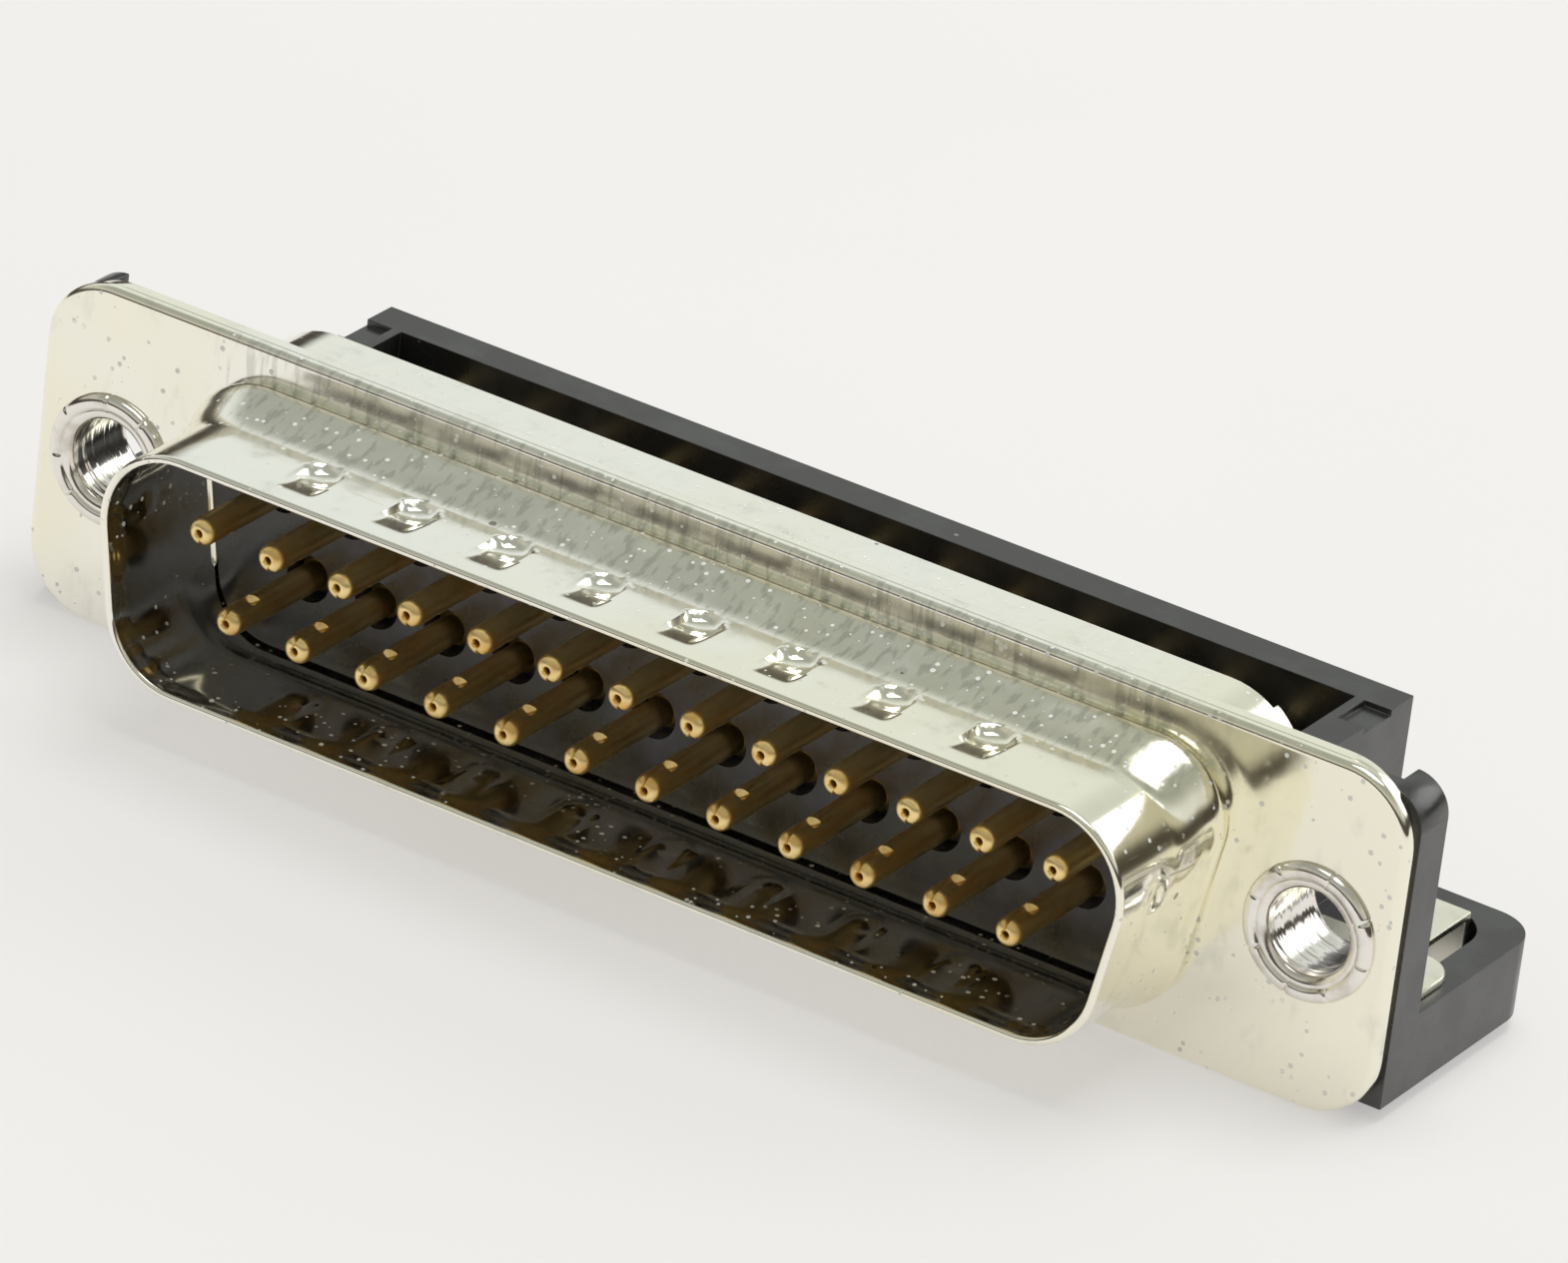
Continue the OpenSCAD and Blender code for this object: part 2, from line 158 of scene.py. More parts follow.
def bevelled_copy(
    frame: dict, node: str, name: str, width: float, segments: int = 3, degrees: float = 40.0
) -> bpy.types.Object:
    """Copies a solid and rounds its sharp edges.

    Args:
        frame: The loaded frame.
        node: Node to copy.
        name: Name of the new piece.
        width: Width of the rounding in millimetres.
        segments: Number of faces across the rounding.
        degrees: Edges sharper than this are rounded.

    Returns:
        The new piece.
    """
    piece = bpy.data.objects.new(name, frame["nodes"][node].data.copy())
    bpy.context.scene.collection.objects.link(piece)
    pick(piece)
    bpy.ops.object.mode_set(mode="EDIT")
    bpy.ops.mesh.select_all(action="SELECT")
    bpy.ops.mesh.remove_doubles(threshold=0.001 * MM)
    bpy.ops.mesh.dissolve_limited(angle_limit=math.radians(0.5))
    bpy.ops.mesh.normals_make_consistent(inside=False)
    bpy.ops.object.mode_set(mode="OBJECT")
    apply_modifier(
        piece, "BEVEL", width=width * MM, segments=segments, limit_method="ANGLE",
        angle_limit=math.radians(degrees), use_clamp_overlap=True, harden_normals=False,
    )
    smooth(piece)
    apply_modifier(piece, "WEIGHTED_NORMAL", mode="FACE_AREA", weight=100, keep_sharp=True)
    return piece


# ---------------------------------------------------------------- finishes


class Graph:
    """Short way to build the nodes of a material or of the world."""

    def __init__(self, tree: bpy.types.NodeTree, coordinates: str) -> None:
        """Starts from one kind of texture coordinates."""
        self.tree = tree
        self.where = tree.nodes.new("ShaderNodeTexCoord").outputs[coordinates]

    def link(self, source: object, target: object) -> None:
        """Links an output to an input, or sets the input to a plain value."""
        if isinstance(source, bpy.types.NodeSocket):
            self.tree.links.new(source, target)
        else:
            target.default_value = source

    def noise(self, scale: float, detail: float = 3.0, stretch: Point = (1, 1, 1),
              rough: float = 0.5, spin: Point = (0, 0, 0)) -> bpy.types.NodeSocket:
        """Cloudy pattern.

        Args:
            scale: Clouds in a millimetre.
            detail: Octaves.
            stretch: Scale along each axis.
            rough: Strength of the finer octaves.
            spin: Turn of the pattern in degrees.

        Returns:
            The pattern's value.
        """
        mapping = self.tree.nodes.new("ShaderNodeMapping")
        mapping.inputs["Scale"].default_value = [s / MM for s in stretch]
        mapping.inputs["Rotation"].default_value = [math.radians(a) for a in spin]
        self.link(self.where, mapping.inputs["Vector"])
        node = self.tree.nodes.new("ShaderNodeTexNoise")
        node.inputs["Scale"].default_value = scale
        node.inputs["Detail"].default_value = detail
        node.inputs["Roughness"].default_value = rough
        self.link(mapping.outputs["Vector"], node.inputs["Vector"])
        return node.outputs["Fac"]

    def specks(self, scale: float, radius: float, share: float) -> bpy.types.NodeSocket:
        """Small scattered dots.

        Args:
            scale: Cells in a millimetre.
            radius: Radius of a dot in cells.
            share: Share of the cells that hold a dot.

        Returns:
            A value of one in the dots and zero elsewhere.
        """
        mapping = self.tree.nodes.new("ShaderNodeMapping")
        mapping.inputs["Scale"].default_value = (1 / MM, 1 / MM, 1 / MM)
        self.link(self.where, mapping.inputs["Vector"])
        cells = self.tree.nodes.new("ShaderNodeTexVoronoi")
        cells.inputs["Scale"].default_value = scale
        self.link(mapping.outputs["Vector"], cells.inputs["Vector"])
        split = self.tree.nodes.new("ShaderNodeSeparateColor")
        self.link(cells.outputs["Color"], split.inputs["Color"])
        chosen = self.ramp(split.outputs["Red"], 1 - share, 1 - share + 0.01)
        size = self.math("MULTIPLY_ADD", split.outputs["Green"], radius, radius * 0.4)
        inside = self.math("LESS_THAN", cells.outputs["Distance"], size)
        return self.math("MULTIPLY", chosen, inside)

    def math(self, kind: str, a: object, b: object = 0.0, c: object = 0.0) -> bpy.types.NodeSocket:
        """One step of arithmetic."""
        node = self.tree.nodes.new("ShaderNodeMath")
        node.operation = kind
        for source, socket in zip((a, b, c), node.inputs):
            self.link(source, socket)
        return node.outputs[0]

    def ramp(self, value: object, low: float, high: float, to_low: float = 0.0,
             to_high: float = 1.0) -> bpy.types.NodeSocket:
        """Maps a range of a value to another range, held at its ends."""
        node = self.tree.nodes.new("ShaderNodeMapRange")
        node.interpolation_type = "SMOOTHSTEP"
        for source, key in ((value, "Value"), (low, "From Min"), (high, "From Max"),
                            (to_low, "To Min"), (to_high, "To Max")):
            self.link(source, node.inputs[key])
        return node.outputs["Result"]

    def mix(self, share: object, a: object, b: object) -> bpy.types.NodeSocket:
        """Mixes two colours."""
        node = self.tree.nodes.new("ShaderNodeMix")
        node.data_type = "RGBA"
        self.link(share, node.inputs["Factor"])
        for source, socket in ((a, node.inputs[6]), (b, node.inputs[7])):
            self.link(source if isinstance(source, bpy.types.NodeSocket) else (*source, 1), socket)
        return node.outputs[2]

    def axis(self, index: int) -> bpy.types.NodeSocket:
        """One of the coordinates, in metres on an object."""
        node = self.tree.nodes.new("ShaderNodeSeparateXYZ")
        self.link(self.where, node.inputs[0])
        return node.outputs[index]

    def bump(self, height: object, depth: float, after: object = None) -> bpy.types.NodeSocket:
        """Bumps the surface.

        Args:
            height: The pattern.
            depth: Height of the pattern in millimetres.
            after: Normal of a bump below this one.

        Returns:
            The bumped normal.
        """
        node = self.tree.nodes.new("ShaderNodeBump")
        node.inputs["Distance"].default_value = depth * MM
        self.link(height, node.inputs["Height"])
        if after is not None:
            self.link(after, node.inputs["Normal"])
        return node.outputs["Normal"]


class Nodes(Graph):
    """A material's nodes, round one Principled surface."""

    def __init__(self, name: str) -> None:
        """Starts a material that is patterned by the object's own coordinates."""
        self.material = bpy.data.materials.new(name)
        self.material.use_nodes = True
        super().__init__(self.material.node_tree, "Object")
        self.shader = self.tree.nodes["Principled BSDF"]

    def surface(self, **sockets: object) -> bpy.types.Material:
        """Sets or links the surface's sockets.

        Args:
            sockets: Names with underscores for spaces, and their values.

        Returns:
            The finished material.
        """
        for name, source in sockets.items():
            socket = self.shader.inputs[name.replace("_", " ")]
            if isinstance(source, tuple):
                source = (*source, 1)
            self.link(source, socket)
        return self.material


@dataclass(frozen=True)
class TinPlate:
    """Bright tin plating with handling smudges, pits partly painted as glints, streaky dull patches partly
    painted as dark reflection, a yellowed haze and a painted warm reflection towards +X.
    """

    name: str
    clean: Point = (0.96, 0.945, 0.87)
    # Yellowed tone, also used for the painted warm reflection towards +X
    yellowed_and_warm_reflection: Point = (0.94, 0.91, 0.76)
    # Dull grey-green for smudges, and for streaks that are partly a painted dark reflection
    dull_and_shade: Point = (0.56, 0.57, 0.50)
    # Pale pit colour, partly a painted glint of sparkling pits
    speck_and_glint: Point = (0.95, 0.95, 0.92)
    stain: Point = (0.16, 0.13, 0.10)
    rough: float = 0.10
    haze: float = 0.09
    pits_and_glints: float = 0.28
    drawn_y: tuple[float, float, float, float] = (-0.0029, -0.0022, 0.0002, 0.0004)
    drawn_z: tuple[float, float] = (0.0036, 0.0044)
    drawn_x: tuple[float, float] = (0.0185, 0.0205)
    # Span in X of the painted warm reflection
    warm_reflection_x: tuple[float, float] = (0.004, 0.024)

    def drawn(self, n: Nodes) -> bpy.types.NodeSocket:
        """Where the sheet was drawn hardest, and where dull streaks paint a dark reflection: the top of the
        plug's swollen foot and the flange face above it.

        Args:
            n: The material's nodes.

        Returns:
            A value of one there and of zero on the rest of the sheet.
        """
        front, full, fading, back = self.drawn_y
        foot = n.math("MULTIPLY", n.ramp(n.axis(1), front, full), n.ramp(n.axis(1), fading, back, 1.0, 0.1))
        top = n.math("MULTIPLY", foot, n.ramp(n.axis(2), *self.drawn_z))
        middle = n.ramp(n.math("ABSOLUTE", n.axis(0)), *self.drawn_x, 1.0, 0.0)
        return n.math("MULTIPLY", top, middle)

    def pitted_and_glinting(self, n: Nodes, drawn: bpy.types.NodeSocket) -> bpy.types.NodeSocket:
        """Single pits, and finer ones in patches and where the sheet was drawn; their pale colour is partly a
        painted glint.

        Args:
            n: The material's nodes.
            drawn: Where the sheet was drawn hardest.

        Returns:
            A value of one in the pits and of zero elsewhere.
        """
        patches = n.math("MAXIMUM", n.ramp(n.noise(0.33, 2.0), 0.47, 0.56), n.math("MULTIPLY", drawn, 0.9))
        fine = n.math("MULTIPLY", n.specks(3.0, 0.20, 0.55), patches)
        return n.math("MINIMUM", n.math("ADD", n.specks(1.6, 0.11, self.pits_and_glints), fine), 1.0)

    def make(self) -> bpy.types.Material:
        """Builds the finish.

        Returns:
            The material.
        """
        n = Nodes(self.name)
        smears = n.noise(0.55, 5.0, (1.0, 1.0, 0.5), 0.6)
        # Random yellowed clouds, plus a ramp towards +X that is a painted warm reflection
        yellow_and_warm_reflection = n.math("MAXIMUM", n.ramp(n.noise(0.09, 4.0), 0.42, 0.66),
                        n.ramp(n.axis(0), *self.warm_reflection_x, 0.0, 0.85))
        drawn = self.drawn(n)
        pits_and_glints = self.pitted_and_glinting(n, drawn)
        # Streaks on the foot's top: partly drawing marks, partly a painted dark reflection of the curved foot
        streaks_and_dark_reflection = n.ramp(n.noise(3.2, 3.0, (1.0, 0.4, 0.14)), 0.50, 0.64, 0.0, 0.55)
        base = n.mix(yellow_and_warm_reflection, self.clean, self.yellowed_and_warm_reflection)
        base = n.mix(n.ramp(smears, 0.56, 0.74, 0.0, 0.35), base, self.dull_and_shade)
        base = n.mix(n.math("MULTIPLY", drawn, streaks_and_dark_reflection), base, self.dull_and_shade)
        # Pale pits: partly real pits, partly painted glints standing in for sparkle highlights
        base = n.mix(pits_and_glints, base, self.speck_and_glint)
        base = n.mix(n.math("MULTIPLY", n.specks(0.45, 0.045, 0.35), 0.75), base, self.stain)
        rough = n.math("MULTIPLY_ADD", n.ramp(smears, 0.4, 0.75), self.haze, self.rough)
        rough = n.math("MULTIPLY_ADD", drawn, 0.06, rough)
        rough = n.math("MULTIPLY_ADD", pits_and_glints, 0.35, rough)
        grain = n.math("MULTIPLY", n.noise(2.4, 3.0, (1.0, 0.35, 0.5)),
                       n.math("MULTIPLY_ADD", drawn, 0.9, 0.1))
        scratch = n.ramp(n.noise(2.2, 2.0, (0.05, 1.0, 1.6), 0.5, (0, 24, 0)), 0.70, 0.73)
        normal = n.bump(n.noise(0.8, 2.0), 0.005)
        normal = n.bump(grain, 0.005, normal)
        normal = n.bump(scratch, 0.001, normal)
        normal = n.bump(n.math("MULTIPLY", pits_and_glints, -1.0), 0.02, normal)
        # Pits lose their metal, so their pale colour shows as a painted glint
        metal = n.math("MULTIPLY_ADD", pits_and_glints, -0.85, 1.0)
        return n.surface(Base_Color=base, Metallic=metal, Roughness=rough, Normal=normal)


@dataclass(frozen=True)
class EyeletPlate:
    """Warm grey plating of the rolled eyelets, with rings left by the tool."""

    name: str
    clean: Point = (0.87, 0.84, 0.79)
    worn: Point = (0.70, 0.66, 0.60)

    def make(self) -> bpy.types.Material:
        """Builds the finish.

        Returns:
            The material.
        """
        n = Nodes(self.name)
        smears = n.noise(0.9, 4.0, rough=0.6)
        rings = n.noise(1.9, 2.0, (0.15, 1.0, 0.15))
        base = n.mix(n.ramp(smears, 0.45, 0.7), self.clean, self.worn)
        rough = n.ramp(smears, 0.3, 0.8, 0.10, 0.26)
        normal = n.bump(rings, 0.09, n.bump(n.noise(3.0), 0.004))
        return n.surface(Base_Color=base, Metallic=1.0, Roughness=rough, Normal=normal)


@dataclass(frozen=True)
class Gold:
    """Gold plating, darker where it has been rubbed along the pin."""

    name: str
    bright: Point = (0.98, 0.76, 0.36)
    deep: Point = (0.88, 0.59, 0.22)

    def make(self) -> bpy.types.Material:
        """Builds the finish.

        Returns:
            The material.
        """
        n = Nodes(self.name)
        clouds = n.noise(1.3, 3.0, (1.0, 0.3, 1.0))
        lines = n.noise(6.0, 2.0, (1.0, 0.08, 1.0))
        base = n.mix(n.ramp(clouds, 0.42, 0.66), self.bright, self.deep)
        rough = n.ramp(clouds, 0.3, 0.7, 0.30, 0.45)
        normal = n.bump(lines, 0.003)
        return n.surface(Base_Color=base, Metallic=1.0, Roughness=rough, Normal=normal)


@dataclass(frozen=True)
class BlackPlastic:
    """Glass-filled black plastic with fine moulding grain, dust and smudges; the insulator's lighter bluish
    smudges are partly a painted sheen.
    """

    name: str
    base: Point = (0.022, 0.022, 0.021)
    # Smudge colour, which on the insulator is partly a painted bluish sheen
    smudge_and_sheen: Point = (0.050, 0.050, 0.050)
    rough: float = 0.22
    spread: float = 0.2
    grain: float = 0.004
    dust: float = 0.04
    dust_color: Point = (0.25, 0.25, 0.23)
    ior: float = 1.7

    def make(self) -> bpy.types.Material:
        """Builds the finish.

        Returns:
            The material.
        """
        n = Nodes(self.name)
        clouds = n.noise(0.35, 4.0, rough=0.6)
        base = n.mix(n.ramp(clouds, 0.45, 0.75), self.base, self.smudge_and_sheen)
        base = n.mix(n.specks(1.6, 0.10, self.dust), base, self.dust_color)
        rough = n.math("MULTIPLY_ADD", n.ramp(clouds, 0.35, 0.7), self.spread, self.rough)
        normal = n.bump(n.noise(0.5, 2.0), 0.008, n.bump(n.noise(7.0, 3.0), self.grain))
        return n.surface(Base_Color=base, Roughness=rough, Normal=normal, IOR=self.ior)


@dataclass
class Finishes:
    """The connector's materials by slot."""

    by_slot: dict[Slot, bpy.types.Material] = field(default_factory=dict)

    def make(self) -> "Finishes":
        """Builds every finish and returns this set."""
        self.by_slot = {
            Slot.SHELL: TinPlate("tin_plate").make(),
            Slot.EYELET: EyeletPlate("eyelet_plate").make(),
            Slot.STRAP: TinPlate("strap_plate", rough=0.25, pits_and_glints=0.1).make(),
            Slot.GOLD: Gold("gold_plate").make(),
            # The insulator's lighter bluish smudge colour is partly a painted bluish sheen
            Slot.INSULATOR: BlackPlastic(
                "insulator_black", base=(0.03, 0.03, 0.034), smudge_and_sheen=(0.10, 0.10, 0.15)).make(),
            Slot.BRACKET: BlackPlastic("bracket_black").make(),
        }
        return self

    def dress(self, piece: bpy.types.Object, slot: Slot) -> None:
        """Gives a piece its slot's material.

        Args:
            piece: The piece.
            slot: Its slot.
        """
        piece.data.materials.clear()
        piece.data.materials.append(self.by_slot[slot])


# ---------------------------------------------------------------- outlines


@dataclass(frozen=True)
class Dee:
    """A D outline: half width at the widest, half height, corner radius and slant of the ends."""

    half_w: float
    half_h: float
    radius: float
    slant: float = 10.0
    top_steps: int = 240
    arc_steps: int = 14
    end_steps: int = 24

    def grown(self, by: float) -> "Dee":
        """The same outline, wider all round."""
        return Dee(self.half_w + by, self.half_h + by, self.radius + by, self.slant)

    def towards(self, other: "Dee", share: float) -> "Dee":
        """An outline between this one and another."""
        mixed = [a + share * (b - a) for a, b in
                 ((self.half_w, other.half_w), (self.half_h, other.half_h), (self.radius, other.radius))]
        return Dee(*mixed, self.slant)

    def points(self) -> Outline:
        """Points along the top, the right end, the bottom and the left end.

        Returns:
            Points in X and Z, from the left end of the top, clockwise as seen from the front.
        """
        lean = math.tan(math.radians(self.slant))
        top_z = self.half_h - self.radius
        top_x = self.half_w - self.radius
        low_x = top_x - 2 * top_z * lean
        arcs = [
            ((top_x, top_z), 90.0, -self.slant),
            ((low_x, -top_z), -self.slant, -90.0),
            ((-low_x, -top_z), -90.0, -180.0 + self.slant),
            ((-top_x, top_z), -180.0 + self.slant, -270.0),
        ]
        return walk(arcs, self.radius, (self.top_steps, self.end_steps) * 2, self.arc_steps)


def walk(arcs: list[Arc], radius: float, steps: tuple[int, ...], arc_steps: int) -> Outline:
    """Points along four arcs and the straight sides between them.

    Args:
        arcs: Each arc's centre, first angle and last angle in degrees.
        radius: The arcs' radius.
        steps: Parts of the side before each arc.
        arc_steps: Parts of each arc.

    Returns:
        The points, each once.
    """
    def at(centre: tuple[float, float], degrees: float) -> tuple[float, float]:
        """A point on an arc."""
        a = math.radians(degrees)
        return centre[0] + radius * math.cos(a), centre[1] + radius * math.sin(a)

    points: Outline = []
    before = at(arcs[-1][0], arcs[-1][2])
    for (centre, first, last), count in zip(arcs, steps):
        start = at(centre, first)
        for i in range(count):
            t = i / count
            points.append((before[0] + t * (start[0] - before[0]), before[1] + t * (start[1] - before[1])))
        for i in range(arc_steps):
            points.append(at(centre, first + (last - first) * i / arc_steps))
        before = at(centre, last)
    return points


def plate_outline(half_w: float, half_h: float, radius: float, like: Dee) -> Outline:
    """A rounded rectangle with as many points as a D outline.

    Args:
        half_w: Half width.
        half_h: Half height.
        radius: Corner radius.
        like: Outline whose number of points is matched.

    Returns:
        The points, in the same order.
    """
    x, z = half_w - radius, half_h - radius
    arcs = [((x, z), 90.0, 0.0), ((x, -z), 0.0, -90.0), ((-x, -z), -90.0, -180.0), ((-x, z), -180.0, -270.0)]
    return walk(arcs, radius, (like.top_steps, like.end_steps) * 2, like.arc_steps)


def flat(outline: Outline, y: float) -> list[Point]:
    """A ring that lies in one plane across Y."""
    return [(x, y, z) for x, z in outline]


# ---------------------------------------------------------------- pieces


@dataclass(frozen=True)
class Dimple:
    """Grounding dimple: a ramp behind a straight front edge, then a round bowl."""

    half_w: float = 0.72
    length: float = 2.5
    depth: float = 0.20
    bowl: float = 0.12
    ramp: float = 1.3
    wall: float = 0.16

    def depth_at(self, across: float, along: float) -> float:
        """Depth below the wall.

        Args:
            across: Distance from the dimple's middle line.
            along: Distance behind its front edge.

        Returns:
            The depth in millimetres, zero outside the dimple.
        """
        if along <= 0 or along >= self.length or abs(across) >= self.half_w:
            return 0.0
        centre = self.length - self.half_w
        out = math.hypot(across, along - centre)
        edge = self.half_w - (abs(across) if along < centre else out)
        if edge <= 0:
            return 0.0
        side = min(edge / self.wall, 1.0)
        round_part = max(0.0, 1 - (out / self.half_w) ** 2)
        return self.depth * min(along / self.ramp, 1.0) * (1 - (1 - side) ** 2) + self.bowl * round_part


@dataclass(frozen=True)
class FrontShell:
    """Stamped plug shell: lip, dimpled wall, swollen foot, rolled root and flange."""

    wall: Dee = Dee(19.45, 3.95, 2.5)
    foot: Dee = Dee(19.65, 4.51, 2.28)
    sheet: float = 0.42
    reach: float = 5.9
    # Rings of the wall, sparse behind the lip and close together at the dimples
    lip_places: tuple[float, float, float] = (-5.7, -5.5, -5.25)
    fine_front: float = -5.05
    fine_step: float = 0.125
    fine_count: int = 21
    # Lip, thinned from the inside
    lip_taper: float = 0.12
    taper_front: float = -5.2
    taper_len: float = 0.5
    # Dimples of the top and bottom, on the flat part of those sides
    dimple: Dimple = Dimple()
    dimple_front: float = 5.0
    dimple_pitch: float = 3.72
    dimple_count: int = 8
    dimpled_z: float = 3.8
    dimpled_x: float = 16.4
    inner_share: float = 0.3
    # One dimple on each slanted end
    end_dimple: Dimple = Dimple(half_w=0.55, length=1.5, depth=0.06, bowl=0.12, ramp=0.6, wall=0.3)
    end_dimple_z: float = 1.25
    end_dimple_back: float = 0.4
    end_x: float = 17.5
    # Swelling of the foot, and the bead and rolled root behind its crest
    swell_len: float = 2.5
    swell_steps: int = 14
    crest_at: float = 0.83
    bead_h: float = 0.09
    bead_at: float = 0.6
    bead_len: float = 0.5
    root_r: float = 0.42
    root_in: float = 0.26
    root_share: float = 0.8
    # Step inside the ends of the foot
    tuck: float = 0.10
    tuck_x: float = 18.9
    # Flange
    flange_sheet: float = 0.45
    flange_half: tuple[float, float] = (26.55, 6.2)
    flange_r: float = 2.5
    edge_r: float = 0.25
    back_edge: float = 0.04
    guard: float = 0.04
    hole_x: float = 23.52
    hole_r: float = 1.88

    def swell(self, t: float) -> float:
        """Share of the foot's full swelling, from its front at 0 to the flange at 1."""
        u = min(t / self.crest_at, 1.0)
        return u * u * (3 - 2 * u)

    def bead(self, t: float) -> float:
        """Extra swelling of the rolled bead beside the flange, in millimetres."""
        u = (t - self.bead_at) / self.bead_len
        return self.bead_h * math.sin(math.pi * u) if 0 < u < 1 else 0.0

    def dented(self, outline: Outline, y: float, share: float = 1.0) -> list[Point]:
        """Sinks the dimples into one ring of the wall.

        Args:
            outline: The ring's outline.
            y: Its place.
            share: Share of the dimples' depth.

        Returns:
            The ring's points.
        """
        ring = []
        along = y + self.dimple_front
        middle = (self.dimple_count - 1) / 2
        lean = math.radians(self.wall.slant)
        for x, z in outline:
            if abs(z) > self.dimpled_z and abs(x) < self.dimpled_x:
                nearest = round(x / self.dimple_pitch + middle)
                nearest = min(max(nearest, 0), self.dimple_count - 1)
                across = x - (nearest - middle) * self.dimple_pitch
                ring.append((x, y, z - math.copysign(share * self.dimple.depth_at(across, along), z)))
            elif abs(x) > self.end_x:
                sink = share * self.end_dimple.depth_at(z - self.end_dimple_z, along - self.end_dimple_back)
                ring.append((x - math.copysign(sink * math.cos(lean), x), y, z + sink * math.sin(lean)))
            else:
                ring.append((x, y, z))
        return ring

    def wall_places(self) -> list[float]:
        """Places of the wall's rings along Y."""
        return [*self.lip_places, *(self.fine_front + self.fine_step * i for i in range(self.fine_count))]

    def swell_places(self) -> list[tuple[float, float]]:
        """Place of each of the foot's rings along Y, with its share of the foot's length."""
        shares = [i / self.swell_steps for i in range(self.swell_steps + 1)]
        return [(-self.swell_len * (1 - t), t) for t in shares]

    def inner_rings(self) -> list[list[Point]]:
        """Rings of the inside, from the back forward to the lip."""
        crest = self.wall.towards(self.foot, self.swell(1)).points()
        rings = [flat(crest, self.flange_sheet), flat(crest, 0.0)]
        for y, share in ((-0.005, 1.0), (-0.115, 1.0), (-0.125, 0.0)):
            step = share * self.tuck
            rings.append([(x - math.copysign(step * (abs(x) > self.tuck_x), x), y, z) for x, z in crest])
        for y, t in reversed(self.swell_places()[:-1]):
            rings.append(flat(self.wall.towards(self.foot, self.swell(t)).points(), y))
        for y in reversed(self.wall_places()):
            taper = self.lip_taper * max(0.0, min(1.0, (self.taper_front - y) / self.taper_len))
            rings.append(self.dented(self.wall.grown(taper).points(), y, self.inner_share))
        return rings

    def lip_rings(self) -> list[list[Point]]:
        """Rings round the half-round lip, from the inside to the outside."""
        rings = []
        lip_r = (self.sheet - self.lip_taper) / 2
        for degrees in range(0, 181, 20):
            turn = math.radians(degrees)
            across = self.lip_taper + lip_r - lip_r * math.cos(turn)
            rings.append(flat(self.wall.grown(across).points(), -self.reach + lip_r - lip_r * math.sin(turn)))
        return rings

    def outer_rings(self, crest: Dee) -> list[list[Point]]:
        """Rings of the outside, from the lip back over the swelling and down the rolled root.

        Args:
            crest: Outline of the bead at its fullest.

        Returns:
            The rings.
        """
        outer = self.wall.grown(self.sheet)
        foot = self.foot.grown(self.sheet)
        rings = [self.dented(outer.points(), y) for y in self.wall_places()]
        for y, t in self.swell_places():
            if y < -self.root_r - 0.05:
                rings.append(flat(outer.towards(foot, self.swell(t)).grown(self.bead(t)).points(), y))
        for degrees in (0, 15, 30, 45, 60, 72):
            turn = math.radians(degrees)
            rings.append(flat(crest.grown(-self.root_in * (1 - math.cos(turn))).points(),
                              -self.root_r * (1 - math.sin(turn))))
        return rings

    def flange_rings(self, root: Dee) -> list[list[Point]]:
        """Rings of the flange, from the root out over its rounded edge to its back.

        Args:
            root: Outline of the root where it meets the flange.

        Returns:
            The rings.
        """
        def plate(inset: float, y: float) -> list[Point]:
            """The flange's own outline, a little further in."""
            half_w, half_h = (half - inset for half in self.flange_half)
            return flat(plate_outline(half_w, half_h, self.flange_r - inset, root), y)

        rings = [flat(root.points(), 0.0), flat(root.grown(self.guard).points(), 0.0),
                 plate(self.edge_r + self.guard, 0.0)]
        for degrees in range(0, 91, 15):
            turn = math.radians(degrees)
            rings.append(plate(self.edge_r * (1 - math.sin(turn)), self.edge_r * (1 - math.cos(turn))))
        rings += [plate(0.0, self.flange_sheet - self.back_edge), plate(self.back_edge, self.flange_sheet)]
        return rings

    def rings(self) -> list[list[Point]]:
        """Every ring of the sheet, from the opening at the back round the lip to the flange's back.

        Returns:
            The rings in order, the last one on the first.
        """
        inner = self.inner_rings()
        crest = self.foot.grown(self.sheet).grown(self.bead(self.crest_at))
        root = crest.grown(-self.root_share * self.root_in)
        return [*inner, *self.lip_rings(), *self.outer_rings(crest), *self.flange_rings(root), inner[0]]

    def make(self, finishes: Finishes) -> None:
        """Builds the shell in place of its solid.

        Args:
            finishes: The connector's materials.
        """
        piece = skin_rings("front_shell_sheet", self.rings())
        for side in (-1, 1):
            clear_selection()
            bpy.ops.mesh.primitive_cylinder_add(
                vertices=96, radius=self.hole_r * MM, depth=2 * MM,
                location=(side * self.hole_x * MM, 0, 0), rotation=(math.pi / 2, 0, 0))
            punch = bpy.context.object
            apply_modifier(piece, "BOOLEAN", operation="DIFFERENCE", object=punch, solver="EXACT")
            bpy.data.objects.remove(punch)
        smooth(piece, 40)
        finishes.dress(piece, Slot.SHELL)
        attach(piece, "root")
        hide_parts("front_shell")
        LOG.info("%s: %d faces", piece.name, len(piece.data.polygons))


